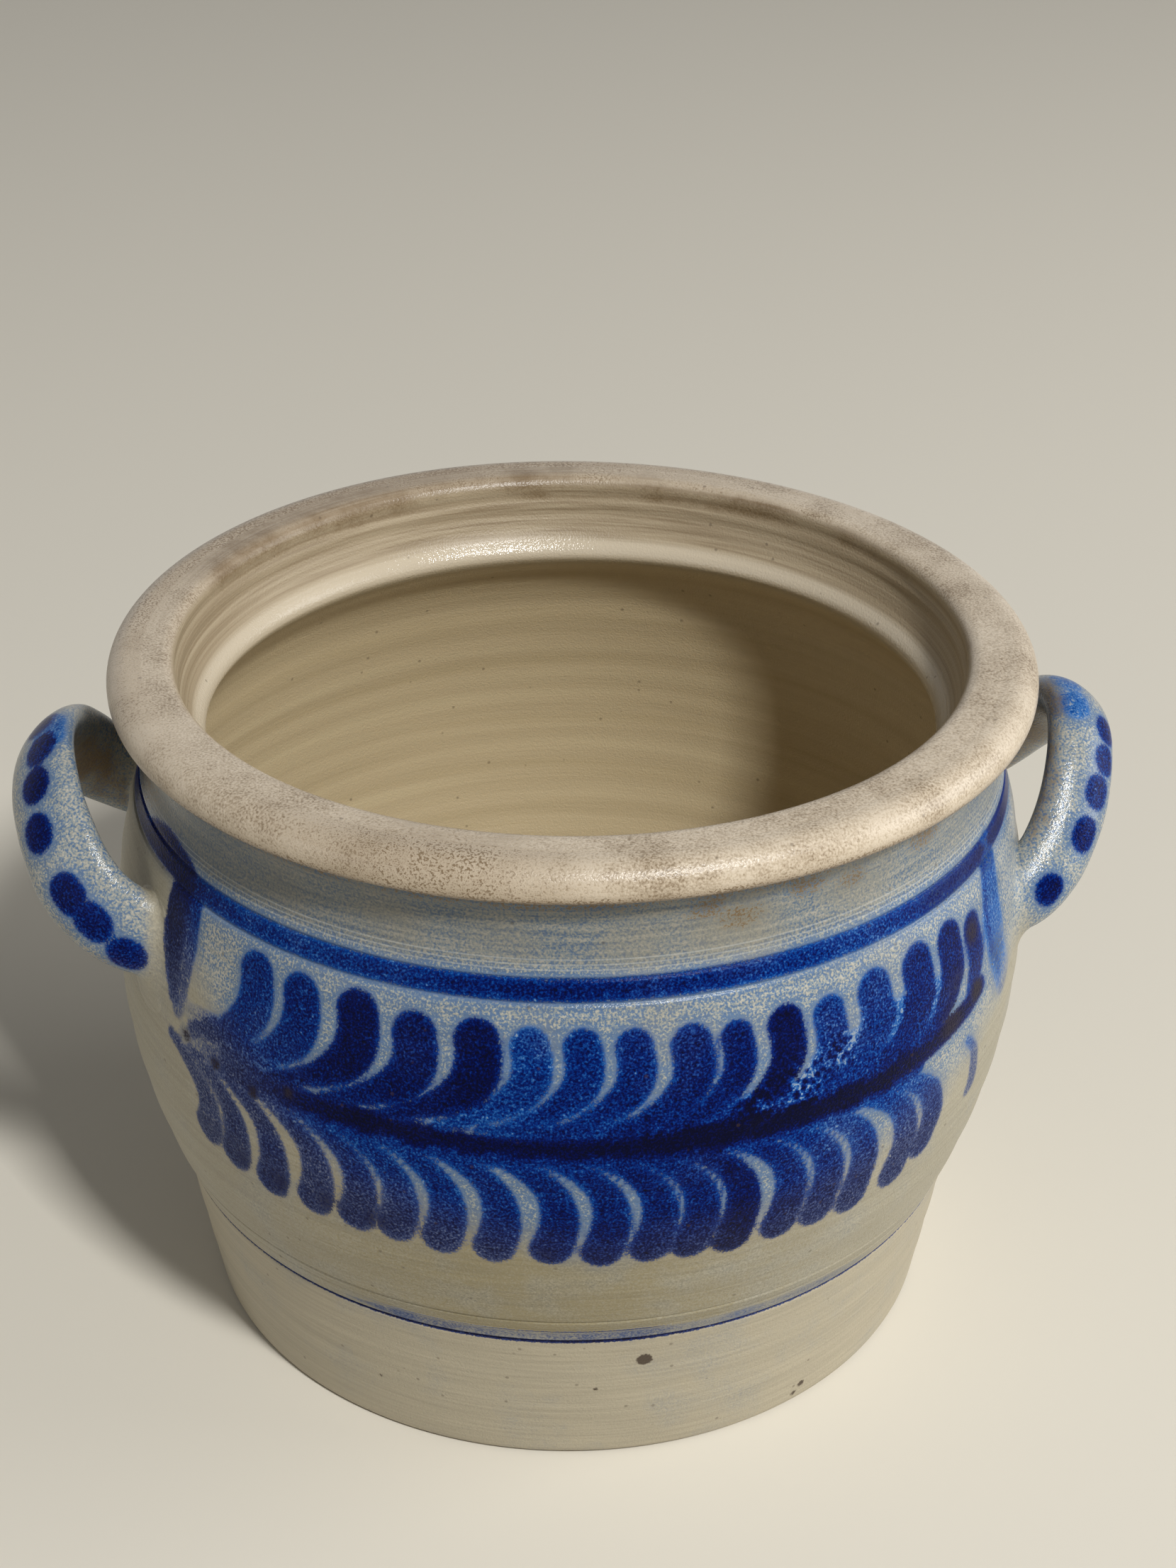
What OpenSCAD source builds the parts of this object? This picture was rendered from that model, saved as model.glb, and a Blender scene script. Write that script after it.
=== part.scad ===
// Salt-glazed stoneware crock: a thrown pot with a rolled lip, and two pulled strap handles.
// It stands on z = 0 with its axis on Z. The handles are on +X and -X. Sizes are in millimetres.

/* [Body] */
// Height from the base to the top of the lip
body_h = 220; // [210:1:240]
// Diameter of the flat base that the crock stands on
base_d = 238; // [220:1:250]
// Radius of the worn edge round the base
base_round = 2; // [1:0.5:4]
// Height where the straight foot ends and the belly starts
foot_h = 52; // [40:1:65]
// Diameter at the top of the foot
foot_d = 255; // [245:1:265]
// Diameter of the belly, half way between the foot and the shoulder
belly_d = 285; // [275:1:295]
// Height of the shoulder, where the belly ends and the neck starts
shoulder_z = 183; // [178:1:188]
// Diameter at the shoulder
shoulder_d = 265; // [260:1:270]
// Diameter at the waist of the neck
neck_d = 261; // [256:1:264]

/* [Lip] */
// Outer diameter of the rolled lip
lip_d = 280; // [274:1:290]
// Height of the lip
lip_h = 11.5; // [11:0.5:16]
// Radius of the roll from the top of the lip to its outside
lip_outer_round = 7; // [4:0.5:8]
// Radius of the roll under the lip's outside
lip_under_round = 3; // [1:0.5:3]
// Radius of the roll from the top of the lip into the mouth
lip_inner_round = 4; // [3:0.5:8]
// Diameter of the mouth, inside the lip
mouth_d = 238; // [230:1:244]

/* [Inside] */
// Diameter of the throat, the narrow ledge below the mouth
throat_d = 222; // [210:1:228]
// Depth of the throat below the top of the lip
throat_drop = 26; // [22:1:32]
// Thickness of the belly wall
wall = 10; // [7:0.5:14]
// Thickness of the floor
floor_t = 12; // [8:0.5:18]
// Radius of the corner between floor and wall
floor_round = 18; // [8:1:30]
// Length below the shoulder over which the wall thickens to carry the throat
thickening = 20; // [12:1:40]

/* [Turned lines] */
// Width of a line cut by the turning tool
line_w = 1.4; // [0.8:0.1:2.4]
// Height from one line to the other at the shoulder
band_h = 6.5; // [4:0.5:12]
// Height from one line to the other at the top of the foot
foot_band_h = 10.5; // [3:0.5:14]

/* [Handles] */
// Width of a handle, between the middles of its two roots
handle_w = 97; // [84:1:106]
// Height of the roots' centres
handle_root_z = 147; // [138:1:152]
// Rise of the strap from its roots to the middle of the loop
handle_rise = 40; // [32:1:44]
// Distance of the strap's centre line from the belly at the middle of the loop
handle_reach = 16.5; // [14:0.5:26]
// Depth that the strap's centre line starts inside the wall
handle_embed = 14; // [8:0.5:18]
// Width of the strap
strap_w = 26; // [18:0.5:28]
// Thickness of the strap
strap_t = 13; // [9:0.5:16]
// Lean of the loop from level, in degrees
strap_lean = 46; // [40:1:56]
// How many times wider the strap is at its thumbed roots
root_flare = 1.2; // [1:0.05:1.4]

/* [Hidden] */
$fn = 128;
glaze_color = "#9aa3a8";
cobalt_color = "#7d8fa8";

base_r = base_d / 2;
foot_r = foot_d / 2;
shoulder_r = shoulder_d / 2;
neck_r = neck_d / 2;
lip_r = lip_d / 2;
mouth_r = mouth_d / 2;
throat_r = throat_d / 2;
throat_z = body_h - throat_drop;
lip_z = body_h - lip_h;
inner_shoulder_z = shoulder_z - thickening;
belly_bulge = belly_d / 2 - (foot_r + shoulder_r) / 2;

// Steps along each curve of the outline
arc_steps = 6;
belly_steps = 20;
neck_steps = 6;
inner_steps = 10;

// The strap is swept with this many rings, each with this many sides
strap_rings = 36;
strap_sides = 16;
// A power under 1 throws the strap outward at once; a power over 1 turns it up late
out_power = 0.67;
up_power = 2;

function blend(a, b, t) = a + (b - a) * t;

// Points of an arc about a centre, from one angle to another
function arc(centre, r, from, to) =
    [for (i = [0:arc_steps]) let (a = blend(from, to, i / arc_steps)) centre + r * [cos(a), sin(a)]];

// Points of a cubic curve between a and d, drawn towards b and c
function bend(a, b, c, d, steps) =
    [for (i = [0:steps]) let (t = i / steps, s = 1 - t)
        a * s * s * s + b * 3 * s * s * t + c * 3 * s * t * t + d * t * t * t];

// Outer radius of the foot and belly at height z
function belly_r(z) = let (t = (z - foot_h) / (shoulder_z - foot_h))
    t < 0 ? blend(base_r, foot_r, z / foot_h)
          : blend(foot_r, shoulder_r, t) + belly_bulge * 4 * t * (1 - t);

// Outer outline from the middle of the base up to the top of the lip
neck_dip = shoulder_r - neck_r;
foot_line = [[foot_r, foot_h]];
belly_line = [for (i = [1:belly_steps])
    let (z = blend(foot_h, shoulder_z, i / belly_steps)) [belly_r(z), z]];
neck_line = [for (i = [1:neck_steps])
    let (t = i / neck_steps) [shoulder_r - neck_dip * 4 * t * (1 - t), blend(shoulder_z, lip_z, t)]];
lip_line = concat(
    arc([lip_r - lip_under_round, lip_z + lip_under_round], lip_under_round, -90, 0),
    arc([lip_r - lip_outer_round, body_h - lip_outer_round], lip_outer_round, 0, 90));
outer_line = concat(
    [[0, 0]],
    arc([base_r - base_round, base_round], base_round, -90, 0),
    foot_line, belly_line, neck_line, lip_line);

// Inner outline from the top of the lip down to the middle of the floor
mouth_bottom = [mouth_r, body_h - lip_inner_round];
throat = [throat_r, throat_z];
inner_shoulder = [belly_r(inner_shoulder_z) - wall, inner_shoulder_z];
inner_foot_z = floor_t + floor_round;
inner_foot = [belly_r(inner_foot_z) - wall, inner_foot_z];
mouth_fall = mouth_bottom[1] - throat_z;
throat_fall = throat_z - inner_shoulder_z;
mouth_line = concat(
    arc([mouth_r + lip_inner_round, body_h - lip_inner_round], lip_inner_round, 90, 180),
    bend(mouth_bottom, mouth_bottom - [0, 0.85 * mouth_fall], throat + [0, 0.25 * mouth_fall], throat, inner_steps));
inside_line = concat(
    bend(throat, throat - [0, 0.12 * throat_fall],
        inner_shoulder + [-0.1 * wall, 0.6 * throat_fall], inner_shoulder, inner_steps),
    [for (i = [1:inner_steps])
        let (z = blend(inner_shoulder_z, inner_foot_z, i / inner_steps)) [belly_r(z) - wall, z]],
    arc(inner_foot - [floor_round, 0], floor_round, 0, -90),
    [[0, floor_t]]);

// The pot's outside as one full solid, which also trims the handles' roots
module outer_shape() {
    rotate_extrude() polygon(concat(outer_line, [[0, body_h]]));
}

// A line cut round the pot at height z
module turned_line(z) {
    rotate_extrude() translate([belly_r(z), z]) circle(d = line_w, $fn = 16);
}

// Body: thrown as one lump, hollow, with the lip rolled over and four lines cut on the wheel
module crock_body() {
    color(glaze_color) difference() {
        rotate_extrude() polygon(concat(outer_line, mouth_line, inside_line));
        turned_line(foot_h + line_w / 2);
        turned_line(foot_h + line_w / 2 + foot_band_h);
        turned_line(shoulder_z - line_w / 2 - band_h);
        turned_line(shoulder_z - line_w / 2);
    }
}

// Centre line of the strap on +X, for a from 0 at the front root to 180 at the back root
root_wall_r = belly_r(handle_root_z);
root_x = sqrt(root_wall_r * root_wall_r - handle_w * handle_w / 4) - handle_embed;
apex_x = belly_d / 2 + handle_reach;
function strap_point(a) = [
    blend(root_x, apex_x, pow(sin(a), out_power)),
    -handle_w / 2 * cos(a),
    handle_root_z + handle_rise * pow(sin(a), up_power)];

function unit(v) = v / norm(v);

// One oval ring of the strap, square to its centre line and wider near the roots
lean_axis = [-sin(strap_lean), 0, cos(strap_lean)];
angle_step = 0.5;
function strap_ring(a) = let (
        before = strap_point(max(a - angle_step, 0)),
        after = strap_point(min(a + angle_step, 180)),
        along = unit(after - before),
        thick = unit(cross(along, lean_axis)),
        wide = cross(thick, along),
        swell = 1 + (root_flare - 1) * pow(1 - sin(a), 2))
    [for (i = [0:strap_sides - 1]) let (b = 360 * i / strap_sides)
        strap_point(a) + swell * (thick * cos(b) * strap_t + wide * sin(b) * strap_w) / 2];

// The whole strap as one closed skin, before its roots are trimmed to the wall
module strap() {
    n = strap_sides;
    last = strap_rings * n;
    points = [for (k = [0:strap_rings]) each strap_ring(180 * k / strap_rings)];
    side = [for (k = [0:strap_rings - 1], i = [0:n - 1])
        let (p = k * n + i, q = k * n + (i + 1) % n) each [[p, q, p + n], [q, q + n, p + n]]];
    front_end = [for (i = [1:n - 2]) [0, i + 1, i]];
    back_end = [for (i = [1:n - 2]) [last, last + i, last + i + 1]];
    polyhedron(points, concat(side, front_end, back_end));
}

// A pulled strap handle on +X, thumbed onto the wall at both roots
module handle() {
    difference() {
        strap();
        outer_shape();
    }
}

module handle_left() {
    color(cobalt_color) mirror([1, 0, 0]) handle();
}

module handle_right() {
    color(cobalt_color) handle();
}

crock_body();
handle_left();
handle_right();
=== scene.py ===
import math

import bpy
import numpy as np
from mathutils import Matrix, Vector, noise


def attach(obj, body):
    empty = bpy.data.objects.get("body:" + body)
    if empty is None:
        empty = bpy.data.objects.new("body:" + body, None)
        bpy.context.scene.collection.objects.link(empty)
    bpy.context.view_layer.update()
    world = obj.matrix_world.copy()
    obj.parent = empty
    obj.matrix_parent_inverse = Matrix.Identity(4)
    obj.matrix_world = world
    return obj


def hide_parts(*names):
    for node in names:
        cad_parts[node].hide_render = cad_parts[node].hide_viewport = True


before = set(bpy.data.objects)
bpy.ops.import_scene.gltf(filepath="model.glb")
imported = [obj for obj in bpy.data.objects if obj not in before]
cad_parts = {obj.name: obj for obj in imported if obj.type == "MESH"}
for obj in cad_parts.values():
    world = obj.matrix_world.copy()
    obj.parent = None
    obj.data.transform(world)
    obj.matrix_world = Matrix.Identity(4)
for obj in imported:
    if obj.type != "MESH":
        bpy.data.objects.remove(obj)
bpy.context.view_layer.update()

# Crock body
# A pot of grey stoneware clay, thrown in one lump on a wheel, with its lip rolled outward and over.
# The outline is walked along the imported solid's seam, so the pot stands exactly where the solid does.

MM = 0.001


def packed_outline(solid):
    """(radius, height) points of a turned solid in mm, from the base's middle to the floor's middle."""
    seam_width = 1e-3
    spots = [v.co / MM for v in solid.data.vertices]
    on_seam = {i for i, p in enumerate(spots) if abs(p.y) < seam_width and p.x > 0}
    links = {}
    for edge in solid.data.edges:
        if on_seam.issuperset(edge.vertices):
            a, b = ((round(spots[i].x, 2), round(spots[i].z, 2)) for i in edge.vertices)
            if a != b:
                links.setdefault(a, set()).add(b)
                links.setdefault(b, set()).add(a)
    here = min((p for p in links if len(links[p]) == 1), key=lambda p: p[1])
    walk = [(0.0, here[1]), here]
    while links[here] - set(walk[-2:]):
        here = (links[here] - set(walk[-2:])).pop()
        walk.append(here)
    walk.append((0.0, here[1]))
    return np.array(walk)


def soft_step(low, high, value):
    """0 below low and 1 above high, with an S-shaped rise between them."""
    t = np.clip((value - low) / (high - low), 0, 1)
    return t * t * (3 - 2 * t)


def bell(offset, reach):
    """1 where the offset is 0, falling away to both sides over this reach."""
    return np.exp(-(offset / reach) ** 2)


# The turned lines are the only places where the seam's points lie this close together
line_point_gap = 0.4
walk = packed_outline(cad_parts["crock_body"])
close = np.linalg.norm(np.diff(walk, axis=0), axis=1) < line_point_gap
in_line = np.r_[False, close] & np.r_[close, False]
line_ends = np.flatnonzero(np.diff(in_line.astype(int)))
turned_lines = [walk[a + 1:b + 1, 1].mean() for a, b in zip(line_ends[::2], line_ends[1::2])]
walk = walk[~in_line]

# Thrown clay has no flats between the seam's points, so the outline is cut finely and rounded
fine_step = 0.2
length = np.r_[0, np.cumsum(np.linalg.norm(np.diff(walk, axis=0), axis=1))]
along = np.arange(0, length[-1], fine_step)
outline = np.c_[np.interp(along, length, walk[:, 0]), np.interp(along, length, walk[:, 1])]


def rounded(line, reach):
    """A line of points averaged over a bell curve with this reach in mm."""
    span = int(4 * reach / fine_step)
    weights = np.exp(-0.5 * (np.arange(-span, span + 1) * fine_step / reach) ** 2)
    padded = np.pad(line, ((span, span), (0, 0)), mode="reflect", reflect_type="odd")
    return np.c_[tuple(np.convolve(column, weights / weights.sum(), "valid") for column in padded.T)]


# Corners keep a small rounding, and the plain wall from the foot to the neck is rounded more
corner_round = 0.9
wall_round = 3.0
wall_start = (12, 24)
wall_end = (176, 188)
on_wall = soft_step(*wall_start, outline[:, 1]) * (1 - soft_step(*wall_end, outline[:, 1]))
on_wall = on_wall[:, None]
outline = rounded(outline, corner_round) * (1 - on_wall) + rounded(outline, wall_round) * on_wall
slope = np.gradient(outline, axis=0)
facing = np.c_[slope[:, 1], -slope[:, 0]] / np.linalg.norm(slope, axis=1)[:, None]
top = int(outline[:, 1].argmax())
lip_top = outline[top, 1]


def outer_radius(level):
    """Radius of the pot's outside in mm at a height in mm."""
    return np.interp(level, outline[:top, 1], outline[:top, 0])


def station(level, inside=False):
    """Place along the outline where it passes this height, outside or inside."""
    part = slice(top, None) if inside else slice(0, top + 1)
    order = -1 if inside else 1
    return float(np.interp(level, outline[part, 1][::order], along[part][::order]))


# Heights in mm where the outside changes: foot, painted belt, neck, and the roll of the lip
foot_start = 4.0
belt_bottom = 46.0
belt_top = 189.0
lip_bottom = 206.5
lip_corner_drop = 4.0
lip_corner = station(lip_top - lip_corner_drop, True)
# The throat is the narrowest place of the inside above this height
throat_above = 150.0
throat = top + int(outline[top:int(station(throat_above, True) / fine_step), 0].argmin())
throat_place = along[throat]
throat_end = throat_place + 10
flat_floor = 98.0
floor_edge = along[-1] - flat_floor

# Each band of rings: where it starts and ends along the outline, the step between rings, and its columns
belt_columns = 512
row_bands = [
    (9.0, 110.0, 20.0, 128),
    (110.0, station(foot_start), 1.0, 256),
    (station(foot_start), station(belt_bottom), 2.6, 256),
    (station(belt_bottom), station(belt_top), 1.7, belt_columns),
    (station(belt_top), station(lip_bottom), 1.5, 256),
    (station(lip_bottom), lip_corner, 1.0, 256),
    (lip_corner, throat_end, 1.4, 256),
    (throat_end, floor_edge, 3.2, 128),
    (floor_edge, along[-1] - 8, 15.0, 128),
]
rings = []
for start, end, step, columns in row_bands:
    places = np.linspace(start, end, max(2, round((end - start) / step)), endpoint=False)
    rings += [(ring_place, columns) for ring_place in places]
# Rows of its own follow each turned line, and the belt's rows nearby give way to them
line_rows = np.linspace(-1.2, 1.2, 9)
line_clearance = 1.5
second_foot_line = 58.2
for line in turned_lines + [second_foot_line]:
    rings = [r for r in rings if r[1] != belt_columns or abs(r[0] - station(line)) > line_clearance]
    rings += [(station(line) + offset, belt_columns) for offset in line_rows]
rings.sort()

ring_start = np.r_[0, np.cumsum([columns for _, columns in rings])]
place = np.repeat([p for p, _ in rings], [c for _, c in rings])
azimuth = np.concatenate([np.arange(c) * 360 / c - 180 for _, c in rings])
radius = np.interp(place, along, outline[:, 0])
height = np.interp(place, along, outline[:, 1])
face_r = np.interp(place, along, facing[:, 0])
face_z = np.interp(place, along, facing[:, 1])
is_outside = place < along[top]
is_inner = soft_step(throat_place - 2, throat_place + 6, place)
is_lip = soft_step(station(lip_bottom), station(lip_bottom + 4), place)
is_lip = is_lip * (1 - soft_step(lip_corner - 3, lip_corner + 3, place))
is_mouth = soft_step(along[top] + 9, along[top] + 12, place) * (1 - is_inner)
is_ledge = soft_step(throat_place - 8, throat_place - 5, place)
is_ledge = is_ledge * (1 - soft_step(throat_place, throat_place + 2, place))

# What the wheel and the tools left: turned lines, finer scored lines, finger rings and a slight lean
line_depth = 0.55
line_reach = 0.5
# Scored lines: height and depth
scored_lines = [
    (178.4, 0.3), (185.2, 0.16), (186.6, 0.12), (188.0, 0.1), (58.9, 0.2), (60.4, 0.22), (61.8, 0.16),
]
scored_reach = 0.45
# Rings inside the mouth: mm below the lip's corner, height of the ring, half width
mouth_rings = [(2.4, -0.6, 1.6), (5.6, 0.35, 0.7), (8.4, -0.2, 1.0), (11.5, 0.15, 0.9)]
ring_pitch = 11.0
ring_depth = 0.16
chatter_pitch = 2.4
chatter_depth = 0.12
pot_lean = 1.4
lean_start = 60.0
oval_press = 0.25
three_sided_press = 0.2


def lean_at(level):
    """How far the pot leans to the right at a height, in mm."""
    return pot_lean * soft_step(lean_start, lip_top, level)


def swell_at(turned, level):
    """How far the wall stands out where the hands pressed it out of round, in mm."""
    return oval_press * np.sin(2 * turned + 0.7) + three_sided_press * np.sin(3 * turned + level / 60)


proud = np.zeros(len(place))
for line in turned_lines:
    proud -= is_outside * line_depth * bell(height - line, line_reach)
for line, depth in scored_lines:
    proud -= is_outside * depth * bell(height - line, scored_reach)
turn = np.radians(azimuth)
finger = np.sin(2 * np.pi * height / ring_pitch + turn + 1.3 * np.sin(height / 17))
proud += ring_depth * is_inner * soft_step(14, 30, height) * finger
chatter = np.sin(height / chatter_pitch + 0.5 * np.sin(turn))
proud += chatter_depth * is_outside * soft_step(5, 20, height) * chatter
below_corner = place - lip_corner
for ring_below, ring_height, ring_reach in mouth_rings:
    proud += ring_height * bell(below_corner - ring_below, ring_reach)
proud += swell_at(turn, height)
pot_radius = radius + proud * face_r
pot_height = height + proud * face_z * soft_step(1, 6, height)
pot_points = np.c_[
    pot_radius * np.sin(turn) + lean_at(height),
    -pot_radius * np.cos(turn),
    pot_height,
]
base_middle = len(pot_points)
pot_points = np.r_[pot_points, [[0, 0, outline[0, 1]], [0, 0, outline[-1, 1]]]]

# The map for baked colours lays the pot out in level strips, the painted belt in two halves and largest
# Each strip: where it starts and ends along the outline, first and last turn it holds, rows of the map
map_size = 1024
map_gap = 7
map_edge = 12
strip_ends = [
    (0.0, station(foot_start), 0.0, 1.0, 24),
    (station(foot_start), station(belt_bottom), 0.0, 1.0, 63),
    (station(belt_bottom), station(belt_top), 0.25, 0.75, 316),
    (station(belt_bottom), station(belt_top), 0.75, 1.25, 316),
    (station(belt_top), throat_end, 0.0, 1.0, 105),
    (throat_end, floor_edge, 0.0, 1.0, 110),
    (floor_edge, along[-1], 0.0, 1.0, 36),
]
strip_rows = np.cumsum([map_gap] + [strip[4] + map_gap for strip in strip_ends])


def on_map(spots):
    """Map places of one face from its corners' (turn, place along the outline), each turn from 0 to 1."""
    middle_turn, middle_place = np.mean(spots, axis=0)
    for (first_place, last_place, first_turn, last_turn, rows), first_row in zip(strip_ends, strip_rows):
        shift = 1.0 if middle_turn < first_turn else 0.0
        if first_place < middle_place < last_place and first_turn < middle_turn + shift < last_turn:
            share = np.array(spots) + (shift, 0) - (first_turn, first_place)
            share /= (last_turn - first_turn, last_place - first_place)
            return (share * (map_size - 2 * map_edge, rows) + (map_edge, first_row)) / map_size


pot_faces = []
pot_map = []
for (start, after), (ring_place, columns), (next_place, next_columns) in zip(
    zip(ring_start, ring_start[1:]), rings, rings[1:]
):
    few = min(columns, next_columns)
    a_step = columns // few
    b_step = next_columns // few
    for k in range(few):
        lower = [k * a_step + i for i in range(a_step + 1)]
        upper = [k * b_step + i for i in range(b_step, -1, -1)]
        pot_faces.append([start + i % columns for i in lower] + [after + i % next_columns for i in upper])
        corners = [(i / columns, ring_place) for i in lower] + [(i / next_columns, next_place) for i in upper]
        pot_map.append(on_map(corners))
base_place, base_columns = rings[0]
floor_place, floor_columns = rings[-1]
floor_start = ring_start[-2]
for k in range(base_columns):
    pot_faces.append([base_middle, (k + 1) % base_columns, k])
    corners = [(k + 0.5, 0.0), (k + 1, base_place), (k, base_place)]
    pot_map.append(on_map([(i / base_columns, corner_place) for i, corner_place in corners]))
for k in range(floor_columns):
    pot_faces.append([base_middle + 1, floor_start + k, floor_start + (k + 1) % floor_columns])
    corners = [(k + 0.5, along[-1]), (k, floor_place), (k + 1, floor_place)]
    pot_map.append(on_map([(i / floor_columns, corner_place) for i, corner_place in corners]))

# The brushed garland: curved leaf strokes laid down wet to each side of a stem, all round the belly
# Strokes are chains of discs on the unrolled belly, in mm
paint_radius = 140.0
belly_mm = math.radians(1) * paint_radius


def brush_stroke(path, widths, loads, discs=22):
    """Centres, radii and cobalt loads of a stroke along a cubic path of (degrees, height) points."""
    t = np.linspace(0, 1, discs)
    s = 1 - t
    pull = np.c_[s ** 3, 3 * s * s * t, 3 * s * t * t, t ** 3]
    centres = pull @ np.array(path, float) * (belly_mm, 1)
    stops = np.linspace(0, 1, len(widths))
    return np.c_[centres, np.interp(t, stops, widths), np.interp(t, np.linspace(0, 1, len(loads)), loads)]


# Where a wet stroke crosses another, its colour soaks in over this many mm
soak_mm = 2.5
# Past this many mm from a stroke there is no trace of its cobalt
paint_reach = 8.0


def lay_strokes(points, strokes):
    """How far each point lies inside the strokes in mm, negative outside, and the cobalt load there."""
    inside = np.full(len(points), -paint_reach)
    load = np.zeros(len(points))
    for discs in strokes:
        centres, radii, loads = discs[:, :-2], discs[:, -2], discs[:, -1]
        margin = paint_reach + radii.max()
        near = np.all((points > centres.min(0) - margin) & (points < centres.max(0) + margin), axis=1)
        if not near.any():
            continue
        depth = radii - np.linalg.norm(points[near][:, None] - centres, axis=2)
        best = depth.argmax(1)
        depth = depth[np.arange(len(best)), best]
        old = inside[near]
        old_load = load[near]
        covers = (depth > 0) & (old > 0)
        nearer = (depth > old) & ~covers
        old_load[nearer] = loads[best][nearer]
        soaked = np.maximum(loads[best] - old_load, 0) * np.clip(depth / soak_mm, 0, 1)
        old_load[covers] += soaked[covers]
        inside[near] = np.maximum(old, depth)
        load[near] = old_load
    return inside, load


# Upper leaves: middle of the head in degrees, top of the head in mm, sweep of the tail, cobalt load
upper_leaves = [
    (-41.6, 172.5, 10.5, 0.66), (-34.8, 172, 10.5, 0.7), (-27.2, 172.5, 10.5, 0.95), (-20.1, 170, 10.5, 0.9),
    (-12.9, 170.5, 10.5, 1.0), (-6.9, 170, 10, 0.57), (-1.1, 170, 9.5, 0.65), (4.7, 169.5, 9, 0.75),
    (11.2, 168.5, 8.5, 0.82), (16.5, 168.5, 8, 0.87), (22.5, 169, 7, 1.05), (28.3, 168, 7, 0.66),
    (35.0, 169.5, 8, 0.66), (42.3, 170, 8, 0.78), (48.8, 170.5, 6, 0.85), (54.2, 168.5, 2.5, 0.75),
]
# Lower leaves: middle of the head in degrees, bottom of the head in mm, cobalt load
lower_leaves = [
    (-50.5, 99, 0.55), (-45.6, 96, 0.6), (-39.6, 93.5, 0.62), (-33.2, 94, 0.64), (-27.5, 93.5, 0.66),
    (-22.5, 93.5, 0.65), (-16.9, 92.5, 0.66), (-10.8, 91.5, 0.72), (-4.3, 92, 0.74), (1.5, 91, 0.76),
    (7.0, 91.5, 0.8), (11.8, 91, 0.82), (16.7, 90, 0.95), (22.7, 90.5, 0.78), (27.8, 90.5, 0.72),
    (33.0, 89.5, 0.66), (39.8, 91, 0.62), (44.8, 95.5, 0.58),
]
# Stem: degrees, height, half width, cobalt load
stem = [
    (-54, 135.5, 2.0, 0.12), (-46, 134, 3.2, 0.55), (-36, 134, 4.4, 0.95), (-25, 134.5, 4.8, 1.15),
    (-10, 133.5, 3.6, 1.1), (5, 133.2, 4.3, 1.15), (20, 133.8, 5.0, 1.25), (35, 134.2, 4.6, 1.2),
    (45, 136.5, 4.2, 1.05), (52, 139.2, 3.8, 0.95), (55.5, 141.8, 3.2, 0.85),
]
# Other strokes: path of (degrees, height) points, half widths, cobalt loads, and a number of discs if long
washes = [
    ([(-12, 139), (5, 138), (25, 139), (44, 143)], (2, 5, 6, 4), (0.6,), 60),
    ([(-36, 130), (-10, 129.5), (15, 129.5), (42, 131)], (2, 3, 3, 2.5), (0.65,), 80),
    ([(-53, 143), (-48, 142), (-42, 141), (-36, 138)], (3, 6, 6, 4), (0.1, 0.45, 0.55)),
    ([(-54, 133), (-47, 131), (-42, 131), (-36, 132)], (3, 4, 4, 3), (0.1, 0.4, 0.5)),
    ([(29, 150), (36, 152), (44, 152), (50, 151)], (3, 6, 6, 3), (0.28,)),
    ([(52.5, 127), (55, 122), (56, 116), (55.3, 106)], (1.5, 3.6), (0.35,)),
]
front_blotch = ([(-70, 181), (-66, 183), (-62, 182.5), (-58, 180)], (3, 5.5, 5.5), (0.95,))
root_strokes = [
    ([(-57.5, 179), (-58, 170), (-58, 160), (-56.5, 144)], (6, 6.5, 3.5), (1.0, 0.9, 0.5)),
    ([(-55, 178), (-54, 170), (-54, 156), (-55.5, 140)], (4.5, 4.5, 3), (0.75, 0.5, 0.3)),
    ([(62, 178), (59.5, 165), (59.5, 150), (63.5, 134)], (5.5, 7.5, 6), (0.4, 0.24, 0.16)),
    ([(60, 176), (57.5, 163), (58, 150), (62, 139)], (2, 2.5, 2), (0.6, 0.5, 0.3)),
]
# Half widths in mm along an upper leaf from its head, and along a lower leaf to its head
upper_widths = np.array((6.7, 6.8, 6.1, 4.0, 2.6))
lower_widths = (2.4, 3.7, 4.8, 5.7, 6.3)
# Degrees from one upper leaf to the next where the brush had plenty of room
usual_room = 7.0
# How far a repeated leaf strays: degrees, mm, cobalt load
stray = (0.6, 0.8, 0.06)


def garland(jitter):
    """The strokes of one garland, each moved a little by a seeded generator."""
    hand = np.random.default_rng(7)
    strokes = []
    heads = [leaf[0] for leaf in upper_leaves]
    rooms = [usual_room] + [min(b - a, usual_room) for a, b in zip(heads, heads[1:])]
    for (head, top_z, sweep, load), room in zip(upper_leaves, rooms):
        head, top_z, load = np.array((head, top_z, load)) + hand.normal(0, stray) * jitter
        path = [(head, top_z - 6), (head + 1.3, top_z - 20), (head - 0.14 * sweep, 147), (head - sweep, 138)]
        narrow = room / usual_room
        strokes.append(brush_stroke(path, upper_widths * narrow, (load, load, 0.88 * load)))
    for head, low_z, load in lower_leaves:
        head, low_z, load = np.array((head, low_z, load)) + hand.normal(0, stray) * jitter
        path = [(head - 6.5, 130), (head + 0.8, 124.5), (head + 2.3, 112), (head, low_z + 5.8)]
        strokes.append(brush_stroke(path, lower_widths, (0.9 * load, load)))
    line = np.array(stem)
    t = np.linspace(0, 1, 90)
    knots = np.linspace(0, 1, len(line))
    stem_discs = np.c_[tuple(np.interp(t, knots, column) for column in line.T)]
    strokes.append(stem_discs * (belly_mm, 1, 1, 1))
    # Washes above and below the stem, and the broad strokes beside the two roots
    strokes += [brush_stroke(*wash) for wash in washes]
    if not jitter:
        strokes.append(brush_stroke(*front_blotch))
    strokes += [brush_stroke(*stroke) for stroke in root_strokes]
    return strokes


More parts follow.
